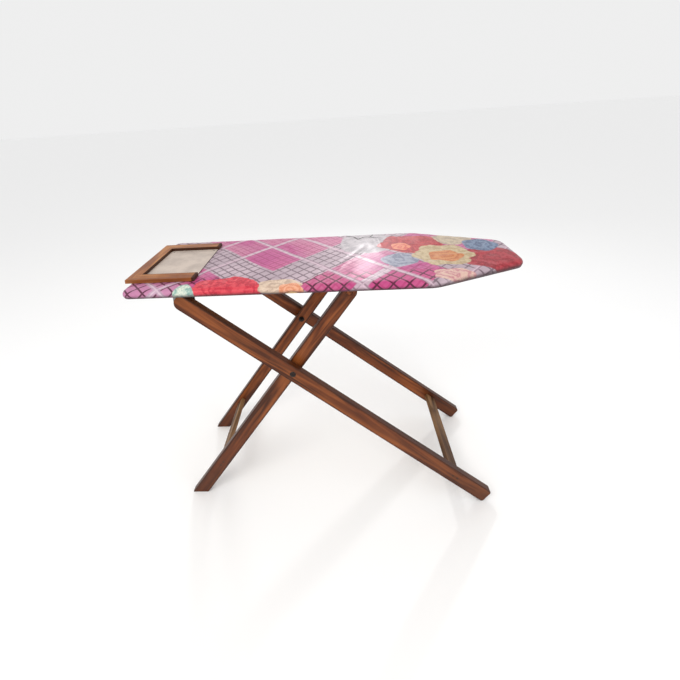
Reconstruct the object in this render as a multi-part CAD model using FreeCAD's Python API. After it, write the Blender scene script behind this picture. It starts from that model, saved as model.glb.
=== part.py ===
import FreeCAD
import Part
import math
import os

# Folding wooden ironing board with crossed legs. Millimetres, +Z up.
# The model is drawn with x = 0 at the deck's broad end and z = 0 on the floor,
# and export() moves it so that the origin is the bottom centre of the whole box.

# Deck, padding and cover
BOARD_LENGTH = 1250.0        # over the cover, broad end to nose
BOARD_WIDTH = 420.0          # over the cover
NOSE_WIDTH = 184.0           # the short straight edge at the nose
TAPER_LENGTH = 300.0
END_RADIUS = 25.0            # corners of the broad end
SHOULDER_RADIUS = 120.0      # where the taper starts
NOSE_RADIUS = 45.0
BOARD_TOP = 840.0            # top of the cover above the floor
DECK_THICKNESS = 12.0
PAD_THICKNESS = 10.0
COVER_THICKNESS = 1.2
HEM_WIDTH = 22.0             # cover turned under the deck
STAPLE_SPACING = 125.0
STAPLE_CROWN = 10.0
STAPLE_WIRE = 1.2
STAPLE_LEG = 6.0             # into the deck

# Iron rest
REST_OVERHANG = 15.0         # past the deck's broad end
REST_LENGTH = 224.0
REST_WIDTH = 304.0
REST_MEMBER = 40.0           # width of each wooden member
REST_HEIGHT = 13.0
PLATE_THICKNESS = 2.5
PLATE_SETBACK = 4.0          # plate's open edge behind the member ends
PLATE_GAP = 0.5
TACK_INSET = 12.0
TACK_HEAD_RADIUS = 3.0
TACK_HEAD_HEIGHT = 1.5
TACK_SHANK_RADIUS = 1.2
TACK_END = 3.0               # tacks end this far above the deck's underside
REST_SCREW_INSET = 38.0
REST_SCREW_END = 4.0         # rest screws end this far under the rails' tops
REST_EASE = 1.2
PLATE_CORNER = 5.0

# Legs
OUTER_WIDTH = 375.0          # over the outer pair of legs
OUTER_ANGLE = 38.8           # outer pair from the floor, degrees
INNER_ANGLE = 53.4           # inner pair from the floor, degrees
LEG_THICKNESS = 22.0
OUTER_LEG_WIDTH = 50.0
INNER_LEG_WIDTH = 46.0
LEG_GAP = 12.0               # between an outer and an inner leg
LEG_EASE = 2.0               # eased long edges
FOOT_RADIUS = 9.0            # rounded corners of the outer feet
HINGE_X = 174.0              # hinge of the outer legs
HINGE_DROP = 34.0            # hinge and bar level under the deck
CROSS_DROP = 263.0           # crossing bolts under the hinge level
OUTER_RUNG_REACH = 1085.0    # hinge to the outer rung
INNER_RUNG_REACH = 488.0     # crossing to the inner rung
RUNG_WIDTH = 40.0
RUNG_THICKNESS = 16.0
RUNG_EASE = 1.5
RUNG_SCREW_SPACING = 18.0
RUNG_SCREW_BITE = 26.0       # how far a rung screw reaches into the rung
BAR_RADIUS = 10.0            # round bar between the inner legs' tops
BAR_CHAMFER = 1.5

# Underside
BRACKET_LENGTH = 70.0        # steel angle that carries each outer leg
BRACKET_STEEL = 3.0
BRACKET_FLANGE = 36.0
BRACKET_BELOW_HINGE = 16.0
BRACKET_ROUND = 14.0
BRACKET_HOLE_INSET = 13.0
CLEAT_LENGTH = 96.0
CLEAT_THICKNESS = 22.0
CLEAT_Y = 100.0
CLEAT_STOP = 34.0            # length of the deeper end that the bar rests against
CLEAT_STOP_DEPTH = 8.0       # how far that end reaches under the bar's axis
CLEAT_CHAMFER = 10.0
CLEAT_RELIEF_ANGLE = 12.0
CLEAT_SCREWS = (-22.0, 38.0) # from the face that stops the bar
BATTEN_WIDTH = 40.0
BATTEN_THICKNESS = 18.0
BATTEN_ROUND = 3.0
BATTEN_SCREW_INSET = 20.0
HEEL_BATTEN_X = 70.0
HEEL_BATTEN_LENGTH = 230.0
NOSE_BATTEN_X = 1080.0
NOSE_BATTEN_LENGTH = 240.0

# Fasteners and fits
BOLT_RADIUS = 4.0
BOLT_HEAD_RADIUS = 10.0
BOLT_HEAD_HEIGHT = 5.0
HINGE_HEAD_HEIGHT = 3.5
HINGE_SCREW_BITE = 16.0      # how far the hinge screw reaches into the leg
NUT_ACROSS_FLATS = 13.0
NUT_HEIGHT = 6.5
BOLT_PAST_NUT = 2.5
WASHER_RADIUS = 11.0
WASHER_THICKNESS = 1.5
SPACER_RADIUS = 13.0
SCREW_RADIUS = 2.0
SCREW_HEAD_RADIUS = 4.0
SCREW_HEAD_HEIGHT = 2.4
DECK_SCREW_END = 4.0         # deck screws end this far above the battens' undersides
BRACKET_SCREW_END = 2.0      # bracket screws end this far under the deck's top
FIT = 0.05                   # radial, a fastener in its own hole
RUN = 0.08                   # radial, a bolt that a leg turns on
SIDE_PLAY = 0.4              # between faces that slide past each other
PAST = 1.0                   # how far a cutter runs past the face it opens

# Levels and places that follow from them
DECK_TOP = BOARD_TOP - COVER_THICKNESS - PAD_THICKNESS
DECK_UNDER = DECK_TOP - DECK_THICKNESS
HEM_UNDER = DECK_UNDER - COVER_THICKNESS
HINGE_Z = DECK_UNDER - HINGE_DROP
OUTER = math.radians(OUTER_ANGLE)
INNER = math.radians(INNER_ANGLE)
CROSS_X = HINGE_X + CROSS_DROP / math.tan(OUTER)
CROSS_Z = HINGE_Z - CROSS_DROP
BAR_X = CROSS_X + CROSS_DROP / math.tan(INNER)
OUTER_FACE = OUTER_WIDTH / 2
OUTER_INSIDE = OUTER_FACE - LEG_THICKNESS
INNER_FACE = OUTER_INSIDE - LEG_GAP
INNER_INSIDE = INNER_FACE - LEG_THICKNESS
BOX_CENTRE_X = (BOARD_LENGTH - REST_OVERHANG) / 2
SIDES = (("near", -1), ("far", 1))
UP = FreeCAD.Vector(0, 0, 1)
DOWN = FreeCAD.Vector(0, 0, -1)


def vec(x, y, z):
    return FreeCAD.Vector(x, y, z)


def box(x0, x1, y0, y1, z0, z1):
    return Part.makeBox(x1 - x0, y1 - y0, z1 - z0, vec(x0, y0, z0))


def export(name, shape):
    shape.translate(vec(-BOX_CENTRE_X, 0, 0))
    shape.exportStep("parts/%s.step" % name)


def polygon_face(points):
    return Part.Face(Part.makePolygon(points + points[:1]))


def cut_all(shape, cutters):
    return shape.cut(Part.makeCompound(cutters)).removeSplitter()


def rod(start, direction, length, radius):
    return Part.makeCylinder(radius, length, start, direction)


def ease(shape, radius, direction):
    """Rounds the straight edges that run along a direction."""
    straight = [edge for edge in shape.Edges if isinstance(edge.Curve, Part.Line)]
    edges = [e for e in straight if abs(e.tangentAt(e.FirstParameter).dot(direction)) > 0.999]
    return shape.makeFillet(radius, edges)


def screw(head, direction, length, play=0.0):
    """A countersunk screw from the middle of its flat head; with play it is its own hole."""
    top = SCREW_HEAD_RADIUS + play
    cone = Part.makeCone(top, SCREW_RADIUS + play, SCREW_HEAD_HEIGHT, head, direction)
    return cone.fuse(rod(head, direction, length, SCREW_RADIUS + play))


def screws(places, direction, length, play=0.0):
    return [screw(place, direction, length, play) for place in places]


# ---------------------------------------------------------------- deck outline

def outline_points():
    half = BOARD_WIDTH / 2
    nose = NOSE_WIDTH / 2
    shoulder = BOARD_LENGTH - TAPER_LENGTH
    return [(0, -half), (shoulder, -half), (BOARD_LENGTH, -nose),
            (BOARD_LENGTH, nose), (shoulder, half), (0, half)]


def outline_radii():
    return [END_RADIUS, SHOULDER_RADIUS, NOSE_RADIUS, NOSE_RADIUS, SHOULDER_RADIUS, END_RADIUS]


def stands_on(edge, point):
    """Whether both ends of an edge are over or at a point."""
    return all(math.hypot(v.X - point.x, v.Y - point.y) < 0.01 for v in edge.Vertexes)


def outline_face(inset):
    """The board's outline at z = 0 with round corners, moved in by inset."""
    points = [vec(x, y, 0) for x, y in outline_points()]
    prism = polygon_face(points).extrude(UP)
    for point, radius in zip(points, outline_radii()):
        prism = prism.makeFillet(radius, [e for e in prism.Edges if stands_on(e, point)])
    bottom = min(prism.Faces, key=lambda face: face.CenterOfMass.z)
    wire = bottom.OuterWire
    if inset:
        wire = wire.makeOffset2D(-inset)
    return Part.Face(wire)


def slab(inset, z_low, z_high):
    face = outline_face(inset)
    face.translate(vec(0, 0, z_low))
    return face.extrude(vec(0, 0, z_high - z_low))


# ---------------------------------------------------------------- fastener places

def rest_centre_y():
    return REST_WIDTH / 2 - REST_MEMBER / 2


def rest_screw_places():
    xs = (REST_SCREW_INSET, REST_LENGTH - REST_OVERHANG - REST_SCREW_INSET)
    return [vec(x, side * rest_centre_y(), DECK_UNDER) for x in xs for _, side in SIDES]


def tack_places():
    x0 = REST_MEMBER - REST_OVERHANG + PLATE_GAP + TACK_INSET
    x1 = REST_LENGTH - REST_OVERHANG - PLATE_SETBACK - TACK_INSET
    y = REST_WIDTH / 2 - REST_MEMBER - PLATE_GAP - TACK_INSET
    return [vec(x, side * y, BOARD_TOP + PLATE_THICKNESS) for x in (x0, x1) for _, side in SIDES]


def bracket_face():
    """Distance of the bracket's upright from the middle plane, on the leg's side."""
    return OUTER_INSIDE - SIDE_PLAY


def bracket_screw_places():
    y = bracket_face() - BRACKET_FLANGE / 2 - BRACKET_STEEL / 2
    xs = (-BRACKET_LENGTH / 2 + BRACKET_HOLE_INSET, BRACKET_LENGTH / 2 - BRACKET_HOLE_INSET)
    return [vec(HINGE_X + dx, side * y, DECK_UNDER - BRACKET_STEEL) for dx in xs for _, side in SIDES]


def bracket_screw_length():
    return BRACKET_STEEL + DECK_THICKNESS - BRACKET_SCREW_END


def bar_stop_x():
    """The cleats' faces that stop the bar on its way to the broad end."""
    return BAR_X - BAR_RADIUS - SIDE_PLAY


def deck_screw_places():
    """Screws driven down through the deck into what is fixed under it."""
    places = []
    for _, side in SIDES:
        places += [vec(bar_stop_x() + dx, side * CLEAT_Y, DECK_TOP) for dx in CLEAT_SCREWS]
    for x, length in ((HEEL_BATTEN_X, HEEL_BATTEN_LENGTH), (NOSE_BATTEN_X, NOSE_BATTEN_LENGTH)):
        y = length / 2 - BATTEN_SCREW_INSET
        places += [vec(x, side * y, DECK_TOP) for _, side in SIDES]
    return places


def staple_places():
    """Middle and direction of every staple along the hem."""
    places = []
    points = outline_points()
    for (ax, ay), (bx, by) in zip(points, points[1:] + points[:1]):
        run = vec(bx - ax, by - ay, 0)
        inward = vec(-run.y, run.x, 0).normalize() * (HEM_WIDTH / 2)
        trim = END_RADIUS + STAPLE_CROWN
        count = max(1, round((run.Length - 2 * trim) / STAPLE_SPACING))
        for k in range(count):
            share = (trim + (k + 0.5) * (run.Length - 2 * trim) / count) / run.Length
            turn = math.degrees(math.atan2(run.y, run.x))
            places.append((vec(ax, ay, HEM_UNDER) + run * share + inward, turn))
    return places


def staple(middle, turn, play=0.0):
    """A crown lying on the hem, with two legs up through the hem into the deck."""
    half = STAPLE_CROWN / 2
    wire = STAPLE_WIRE / 2
    rise = COVER_THICKNESS + STAPLE_LEG
    side = wire + play
    solid = box(-half - play, half + play, -side, side, -STAPLE_WIRE, 0)
    for x in (-half + wire, half - wire):
        solid = solid.fuse(box(x - side, x + side, -side, side, -STAPLE_WIRE, rise + play))
    solid.rotate(vec(0, 0, 0), vec(0, 0, 1), turn)
    solid.translate(middle)
    return solid.removeSplitter()


def tack(head, play=0.0):
    """A tack with its head sunk flush in the plate, driven down into the deck."""
    depth = head.z - DECK_UNDER - TACK_END
    shank = TACK_SHANK_RADIUS + play
    cone = Part.makeCone(TACK_HEAD_RADIUS + play, shank, TACK_HEAD_HEIGHT, head, DOWN)
    return cone.fuse(rod(head, DOWN, depth + play, shank))


def rest_screw_length():
    return BOARD_TOP + REST_HEIGHT - REST_SCREW_END - DECK_UNDER


def deck_screw_length():
    return DECK_THICKNESS + BATTEN_THICKNESS - DECK_SCREW_END


def tacks(play=0.0):
    return [tack(place, play) for place in tack_places()]


def staples(play=0.0):
    return [staple(middle, turn, play) for middle, turn in staple_places()]


def rest_screws(play=0.0):
    return screws(rest_screw_places(), UP, rest_screw_length(), play)


def deck_screws(play=0.0):
    return screws(deck_screw_places(), DOWN, deck_screw_length(), play)


def bracket_screws(play=0.0):
    return screws(bracket_screw_places(), UP, bracket_screw_length(), play)


# ---------------------------------------------------------------- board pieces

def deck_board():
    deck = slab(COVER_THICKNESS, DECK_UNDER, DECK_TOP)
    cutters = tacks(FIT) + staples(FIT) + rest_screws(FIT) + deck_screws(FIT) + bracket_screws(FIT)
    return cut_all(deck, cutters)


def foam_pad():
    pad = slab(COVER_THICKNESS, DECK_TOP, BOARD_TOP - COVER_THICKNESS)
    return cut_all(pad, rest_screws(FIT) + tacks(FIT))


def cover():
    """A skin over the pad, down the edges and turned under as a hem."""
    skin = slab(0, HEM_UNDER, BOARD_TOP)
    skin = skin.cut(slab(COVER_THICKNESS, DECK_UNDER, BOARD_TOP - COVER_THICKNESS))
    skin = skin.cut(slab(HEM_WIDTH, HEM_UNDER - PAST, DECK_UNDER + PAST))
    return cut_all(skin, rest_screws(FIT) + tacks(FIT) + staples(FIT))


def rest_rail(side):
    """A long member of the iron rest, mitred at the broad end."""
    x0 = -REST_OVERHANG
    x1 = REST_LENGTH - REST_OVERHANG
    y_out = REST_WIDTH / 2
    y_in = y_out - REST_MEMBER
    corners = [(x0, y_out), (x1, y_out), (x1, y_in), (x0 + REST_MEMBER, y_in)]
    points = [vec(x, side * y, BOARD_TOP) for x, y in corners]
    rail = polygon_face(points).extrude(UP * REST_HEIGHT)
    return cut_all(ease(rail, REST_EASE, vec(1, 0, 0)), rest_screws(FIT))


def rest_end():
    """The short member of the iron rest, mitred at both ends."""
    x0 = -REST_OVERHANG
    y_out = REST_WIDTH / 2
    y_in = y_out - REST_MEMBER
    corners = [(x0, -y_out), (x0 + REST_MEMBER, -y_in), (x0 + REST_MEMBER, y_in), (x0, y_out)]
    points = [vec(x, y, BOARD_TOP) for x, y in corners]
    return ease(polygon_face(points).extrude(UP * REST_HEIGHT), REST_EASE, vec(0, 1, 0))


def rest_plate():
    y = REST_WIDTH / 2 - REST_MEMBER - PLATE_GAP
    x0 = REST_MEMBER - REST_OVERHANG + PLATE_GAP
    x1 = REST_LENGTH - REST_OVERHANG - PLATE_SETBACK
    plate = box(x0, x1, -y, y, BOARD_TOP, BOARD_TOP + PLATE_THICKNESS)
    return cut_all(ease(plate, PLATE_CORNER, UP), tacks(FIT))


def hinge_bracket(side):
    """A steel angle: one flange under the deck, the other beside the leg."""
    y1 = bracket_face()
    y0 = y1 - BRACKET_FLANGE
    x0 = HINGE_X - BRACKET_LENGTH / 2
    x1 = HINGE_X + BRACKET_LENGTH / 2
    low = HINGE_Z - BRACKET_BELOW_HINGE
    upright = box(x0, x1, y1 - BRACKET_STEEL, y1, low, DECK_UNDER)
    across = [e for e in upright.Edges if e.Length < BRACKET_STEEL + 0.1]
    upright = upright.makeFillet(BRACKET_ROUND, [e for e in across if e.CenterOfMass.z < low + 0.1])
    angle = upright.fuse(box(x0, x1, y0, y1, DECK_UNDER - BRACKET_STEEL, DECK_UNDER)).removeSplitter()
    if side < 0:
        angle = angle.mirror(vec(0, 0, 0), vec(0, 1, 0))
    start = vec(HINGE_X, side * (y0 - PAST), HINGE_Z)
    bore = rod(start, vec(0, side, 0), BRACKET_FLANGE + 2 * PAST, BOLT_RADIUS + RUN)
    return cut_all(angle, [bore] + bracket_screws(FIT))


def cleat(side):
    """Bears on the bar, stops it towards the hinge, and slopes clear of it towards the nose."""
    stop = bar_stop_x()
    bearing = HINGE_Z + BAR_RADIUS + SIDE_PLAY
    x0 = stop - CLEAT_STOP
    x1 = x0 + CLEAT_LENGTH
    low = HINGE_Z - CLEAT_STOP_DEPTH
    rise = (x1 - BAR_X) * math.tan(math.radians(CLEAT_RELIEF_ANGLE))
    corners = [(x0, DECK_UNDER), (x0, low + CLEAT_CHAMFER), (x0 + CLEAT_CHAMFER, low), (stop, low),
               (stop, bearing), (BAR_X, bearing), (x1, bearing + rise), (x1, DECK_UNDER)]
    points = [vec(x, side * CLEAT_Y - CLEAT_THICKNESS / 2, z) for x, z in corners]
    body = polygon_face(points).extrude(vec(0, CLEAT_THICKNESS, 0))
    return cut_all(body, deck_screws(FIT))


def batten(x, length):
    body = box(x - BATTEN_WIDTH / 2, x + BATTEN_WIDTH / 2, -length / 2, length / 2,
               DECK_UNDER - BATTEN_THICKNESS, DECK_UNDER)
    low = [e for e in body.Edges if e.CenterOfMass.z < DECK_UNDER - BATTEN_THICKNESS + 0.1]
    return cut_all(body.makeFillet(BATTEN_ROUND, low), deck_screws(FIT))


# ---------------------------------------------------------------- legs

def leg_blank(length, width, foot_radius):
    """A leg along +X from the middle of its round top end, eased all round, y from 0."""
    half = width / 2
    top = Part.Arc(vec(0, 0, half), vec(-half, 0, 0), vec(0, 0, -half)).toShape()
    corners = [vec(0, 0, -half), vec(length, 0, -half), vec(length, 0, half), vec(0, 0, half)]
    sides = [Part.makeLine(a, b) for a, b in zip(corners, corners[1:])]
    body = Part.Face(Part.Wire([top] + sides)).extrude(vec(0, LEG_THICKNESS, 0))
    if foot_radius:
        across = [e for e in body.Edges if e.BoundBox.XLength < 0.01 and e.BoundBox.ZLength < 0.01]
        ends = [e for e in across if abs(e.CenterOfMass.x - length) < 0.01]
        body = body.makeFillet(foot_radius, ends)
    rims = [e for e in body.Edges if e.BoundBox.YLength < 0.01]
    return body.makeFillet(LEG_EASE, rims)


def outer_leg_length():
    half = OUTER_LEG_WIDTH / 2
    lift = (half - FOOT_RADIUS) * math.cos(OUTER) + FOOT_RADIUS
    return FOOT_RADIUS + (HINGE_Z - lift) / math.sin(OUTER)


def along_outer(reach):
    return vec(HINGE_X + reach * math.cos(OUTER), 0, HINGE_Z - reach * math.sin(OUTER))


def along_inner(reach):
    """A point below the crossing by reach along the inner legs."""
    return vec(CROSS_X - reach * math.cos(INNER), 0, CROSS_Z - reach * math.sin(INNER))


def leg_y(side, inside):
    return inside if side > 0 else -inside - LEG_THICKNESS


def at_y(point, y):
    return vec(point.x, y, point.z)


def rung_screw_places(centre, angle, face):
    """Two screws into each rung end from the legs' outer faces."""
    step = vec(math.cos(angle), 0, -math.sin(angle)) * (RUNG_SCREW_SPACING / 2)
    return {side: [at_y(centre + step * k, side * face) for k in (-1, 1)] for _, side in SIDES}


def outer_screw_places():
    return rung_screw_places(along_outer(OUTER_RUNG_REACH), OUTER, OUTER_FACE)


def inner_screw_places():
    return rung_screw_places(along_inner(INNER_RUNG_REACH), -INNER, INNER_FACE)


def rung_screw_length():
    return LEG_THICKNESS + RUNG_SCREW_BITE


def rung_bores(places, side):
    """The rung screws' holes on one side."""
    return screws(places[side], vec(0, -side, 0), rung_screw_length(), FIT)


def leg_bore(x, z, inside, side, radius):
    """A hole right through a leg whose inner face is at inside."""
    start = vec(x, side * (inside - PAST), z)
    return rod(start, vec(0, side, 0), LEG_THICKNESS + 2 * PAST, radius)


def outer_leg(side):
    leg = leg_blank(outer_leg_length(), OUTER_LEG_WIDTH, FOOT_RADIUS)
    leg.rotate(vec(0, 0, 0), vec(0, 1, 0), OUTER_ANGLE)
    leg.translate(vec(HINGE_X, leg_y(side, OUTER_INSIDE), HINGE_Z))
    bore = leg_bore(CROSS_X, CROSS_Z, OUTER_INSIDE, side, BOLT_RADIUS + FIT)
    start = vec(HINGE_X, side * (OUTER_INSIDE - PAST), HINGE_Z)
    socket = rod(start, vec(0, side, 0), HINGE_SCREW_BITE + PAST + FIT, BOLT_RADIUS + FIT)
    return cut_all(leg, [bore, socket] + rung_bores(outer_screw_places(), side))


def inner_leg(side):
    reach = CROSS_DROP / math.sin(INNER)
    leg = leg_blank(reach + CROSS_Z / math.sin(INNER) + INNER_LEG_WIDTH, INNER_LEG_WIDTH, 0)
    leg.rotate(vec(0, 0, 0), vec(0, 1, 0), 180 - INNER_ANGLE)
    leg.translate(vec(BAR_X, leg_y(side, INNER_INSIDE), HINGE_Z))
    floor = box(-BOARD_LENGTH, BOARD_LENGTH, -BOARD_WIDTH, BOARD_WIDTH, -BOARD_TOP, 0)
    bore = leg_bore(CROSS_X, CROSS_Z, INNER_INSIDE, side, BOLT_RADIUS + RUN)
    socket = leg_bore(BAR_X, HINGE_Z, INNER_INSIDE, side, BAR_RADIUS + FIT)
    return cut_all(leg, [floor, bore, socket] + rung_bores(inner_screw_places(), side))


def rung(centre, angle, inside, places):
    """A flat rung between the legs' inner faces, turned to lie along them."""
    body = box(-RUNG_WIDTH / 2, RUNG_WIDTH / 2, -inside, inside, -RUNG_THICKNESS / 2, RUNG_THICKNESS / 2)
    body = ease(body, RUNG_EASE, vec(0, 1, 0))
    body.rotate(vec(0, 0, 0), vec(0, 1, 0), math.degrees(angle))
    body.translate(centre)
    return cut_all(body, rung_bores(places, -1) + rung_bores(places, 1))


def rung_screws(places):
    solids = []
    for side, points in places.items():
        solids += screws(points, vec(0, -side, 0), rung_screw_length())
    return Part.makeCompound(solids)


def catch_bar():
    bar = rod(vec(BAR_X, -INNER_FACE, HINGE_Z), vec(0, 1, 0), 2 * INNER_FACE, BAR_RADIUS)
    rims = [e for e in bar.Edges if e.BoundBox.YLength < 0.01]
    return bar.makeChamfer(BAR_CHAMFER, rims)


# ---------------------------------------------------------------- bolts

def bolt_hole(x, z, y0, depth, side):
    start = vec(x, side * (y0 - PAST), z)
    return rod(start, vec(0, side, 0), depth + 2 * PAST, BOLT_RADIUS + FIT)


def ring(x, z, y0, y1, radius, side):
    """A washer or spacer between two distances from the middle plane."""
    body = rod(vec(x, side * y0, z), vec(0, side, 0), y1 - y0, radius)
    return body.cut(bolt_hole(x, z, y0, y1 - y0, side))


def nut(x, z, y0, side):
    radius = NUT_ACROSS_FLATS / math.sqrt(3)
    turns = [k * math.pi / 3 for k in range(6)]
    points = [vec(x + radius * math.cos(t), side * y0, z + radius * math.sin(t)) for t in turns]
    body = polygon_face(points).extrude(vec(0, side * NUT_HEIGHT, 0))
    return body.cut(bolt_hole(x, z, y0, NUT_HEIGHT, side))


def domed_bolt(x, z, y_seat, y_end, head_height, side):
    """A round-headed bolt: the head's flat is at y_seat and the shank runs to y_end."""
    outward = side if y_seat > y_end else -side
    seat = vec(x, side * y_seat, z)
    shank = rod(seat, vec(0, -outward, 0), abs(y_seat - y_end), BOLT_RADIUS)
    sphere = (BOLT_HEAD_RADIUS ** 2 + head_height ** 2) / (2 * head_height)
    ball = Part.makeSphere(sphere, seat + vec(0, outward * (head_height - sphere), 0))
    head = ball.common(rod(seat, vec(0, outward, 0), 2 * head_height, BOLT_HEAD_RADIUS))
    return head.fuse(shank)


def cross_levels():
    """Distances from the middle plane: inner washer face, nut face, bolt end."""
    washer = INNER_INSIDE - SIDE_PLAY - WASHER_THICKNESS
    return washer, washer - NUT_HEIGHT, washer - NUT_HEIGHT - BOLT_PAST_NUT


def pair(make, *numbers):
    """The same fastener on both sides."""
    return Part.makeCompound([make(*numbers, side) for _, side in SIDES])


def cross_bolts():
    return pair(domed_bolt, CROSS_X, CROSS_Z, OUTER_FACE, cross_levels()[2], BOLT_HEAD_HEIGHT)


def cross_spacers():
    return pair(ring, CROSS_X, CROSS_Z, INNER_FACE + SIDE_PLAY, OUTER_INSIDE, SPACER_RADIUS)


def cross_washers():
    washer = cross_levels()[0]
    return pair(ring, CROSS_X, CROSS_Z, washer, washer + WASHER_THICKNESS, WASHER_RADIUS)


def cross_nuts():
    return pair(nut, CROSS_X, CROSS_Z, cross_levels()[1])


def hinge_screws():
    """Shouldered screws through the brackets into the legs; the legs turn with them."""
    head = bracket_face() - BRACKET_STEEL - SIDE_PLAY
    end = OUTER_INSIDE + HINGE_SCREW_BITE
    return pair(domed_bolt, HINGE_X, HINGE_Z, head, end, HINGE_HEAD_HEIGHT)


# ---------------------------------------------------------------- the whole board

def build():
    os.makedirs("parts", exist_ok=True)
    export("deck_board", deck_board())
    export("foam_pad", foam_pad())
    export("cover", cover())
    export("cover_staples", Part.makeCompound(staples()))
    export("iron_rest_plate", rest_plate())
    export("iron_rest_tacks", Part.makeCompound(tacks()))
    export("iron_rest_end", rest_end())
    export("iron_rest_screws", Part.makeCompound(rest_screws()))
    export("deck_screws", Part.makeCompound(deck_screws()))
    export("heel_batten", batten(HEEL_BATTEN_X, HEEL_BATTEN_LENGTH))
    export("nose_batten", batten(NOSE_BATTEN_X, NOSE_BATTEN_LENGTH))
    for name, side in SIDES:
        export("iron_rest_rail_%s" % name, rest_rail(side))
        export("hinge_bracket_%s" % name, hinge_bracket(side))
        export("bar_cleat_%s" % name, cleat(side))
        export("outer_leg_%s" % name, outer_leg(side))
        export("inner_leg_%s" % name, inner_leg(side))
    outer_centre = along_outer(OUTER_RUNG_REACH)
    inner_centre = along_inner(INNER_RUNG_REACH)
    export("outer_rung", rung(outer_centre, OUTER, OUTER_INSIDE, outer_screw_places()))
    export("inner_rung", rung(inner_centre, -INNER, INNER_INSIDE, inner_screw_places()))
    export("outer_rung_screws", rung_screws(outer_screw_places()))
    export("inner_rung_screws", rung_screws(inner_screw_places()))
    export("catch_bar", catch_bar())
    export("cross_bolts", cross_bolts())
    export("cross_spacers", cross_spacers())
    export("cross_washers", cross_washers())
    export("cross_nuts", cross_nuts())
    export("hinge_screws", hinge_screws())
    export("bracket_screws", Part.makeCompound(bracket_screws()))


build()
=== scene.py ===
"""Looks of the folding ironing board: the printed padded cover, varnished wood, steel, floor and light."""
import math

import bmesh
import bpy
from mathutils import Euler, Matrix, Vector, noise


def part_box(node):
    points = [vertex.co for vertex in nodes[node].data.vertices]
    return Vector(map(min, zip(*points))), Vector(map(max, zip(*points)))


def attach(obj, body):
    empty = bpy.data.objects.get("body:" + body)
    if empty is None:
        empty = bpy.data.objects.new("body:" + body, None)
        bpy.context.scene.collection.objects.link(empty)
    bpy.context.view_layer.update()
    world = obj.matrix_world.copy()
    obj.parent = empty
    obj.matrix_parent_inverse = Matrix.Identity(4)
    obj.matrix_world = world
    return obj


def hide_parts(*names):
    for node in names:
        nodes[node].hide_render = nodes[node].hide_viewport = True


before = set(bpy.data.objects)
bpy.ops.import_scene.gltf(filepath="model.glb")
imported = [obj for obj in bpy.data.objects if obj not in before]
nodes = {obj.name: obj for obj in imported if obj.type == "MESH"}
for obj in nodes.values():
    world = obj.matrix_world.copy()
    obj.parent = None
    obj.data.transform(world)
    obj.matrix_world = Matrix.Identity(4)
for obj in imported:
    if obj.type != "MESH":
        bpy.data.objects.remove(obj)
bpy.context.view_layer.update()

# Places read from the frame
cover_low, cover_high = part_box("cover")
plate_low, plate_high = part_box("iron_rest_plate")
rail_near, rail_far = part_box("iron_rest_rail_near"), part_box("iron_rest_rail_far")
bolts_low, bolts_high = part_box("cross_bolts")
rest_high = Vector([max(a, b) for a, b in zip(rail_near[1], rail_far[1])])
PLATE_GAP = 0.0005           # between the heat plate and the wood round it
REST_OPEN_X = plate_low[0] - PLATE_GAP
REST_OPEN_Y = plate_high[1] + PLATE_GAP
BOLT_PLACE = (bolts_low + bolts_high) / 2
HEEL_X = cover_low[0]
NOSE_X = cover_high[0]
HALF_WIDTH = cover_high[1]
TOP_Z = cover_high[2]
HEM_Z = cover_low[2]
DECK_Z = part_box("deck_board")[1][2]

# Cover outline, in metres
NOSE_HALF = 0.092            # half width of the nose
TAPER = 0.300                # length of the taper to the nose
END_RADIUS = 0.025
SHOULDER_RADIUS = 0.120
NOSE_RADIUS = 0.045

# Cover cloth, in metres
CLOTH = 0.0009               # thickness of the cloth
EDGE_ROLL = 0.0125           # radius of the soft top edge
LOW_ROLL = 0.003             # radius of the fold round the deck's lower edge
BULGE = 0.0030               # how far the soft edge stands out
HEM = 0.021                  # turned-under width
HEM_RISE = CLOTH * 0.4       # the hem's underside over the cover's lowest place in the frame
CROWN = 0.0035               # rise of the padding in the middle
CROWN_REACH = 0.045          # distance in which the rise builds up
SWELL, RIPPLE = 0.0011, 0.0006           # broad and fine unevenness of the top
RIM_RIPPLE, RIM_REACH = 0.0016, 0.030    # unevenness near the edge, and how far in it fades
FOLD_SWAY, FOLD_HALF = 0.006, 0.007      # sideways wander and half width of a crease
DIP_OFFSET, DIP_HALF = 0.014, 0.010      # place and half width of the dip beside it
REST_PRESS = 0.0006          # gap left under the iron rest
REST_EASE = 0.022            # distance in which the cloth rises again beside the rest
NOTCH_X = 0.525              # where the hem has ridden up, from the broad end
NOTCH_HALF = 0.020
NOTCH_LIFT = 0.0075
SIDE_GATHER = 0.0018         # depth of the gathers on the side
HEM_GATHER = 0.003           # depth of the gathers on the turned-under hem

# Share of the way round the edge: the top roll's end, the side's start and extent, the lower fold, the hem
ROLL_TUCK, SIDE_TUCK, SIDE_EXTENT, LOW_TUCK, HEM_TUCK = 0.25, 0.3, 0.5, 0.9, 1.0
ROLL_POINTS, LOW_POINTS, HEM_POINTS = 8, 4, 5
SIDE_SHARES = (0.30, 0.62, 0.86)

# Meshes, in metres
LOOP_STEP = 0.006            # between the cover's points along the outline
RING_STEP = 0.0048           # between the cover's rings
MIDDLE_STOP = 0.03           # how much further than NOSE_HALF the middle line stops short of the nose
WELD = 0.0004                # points closer than this become one
SLIVER = 0.00005             # edges shorter than this are taken out

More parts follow.
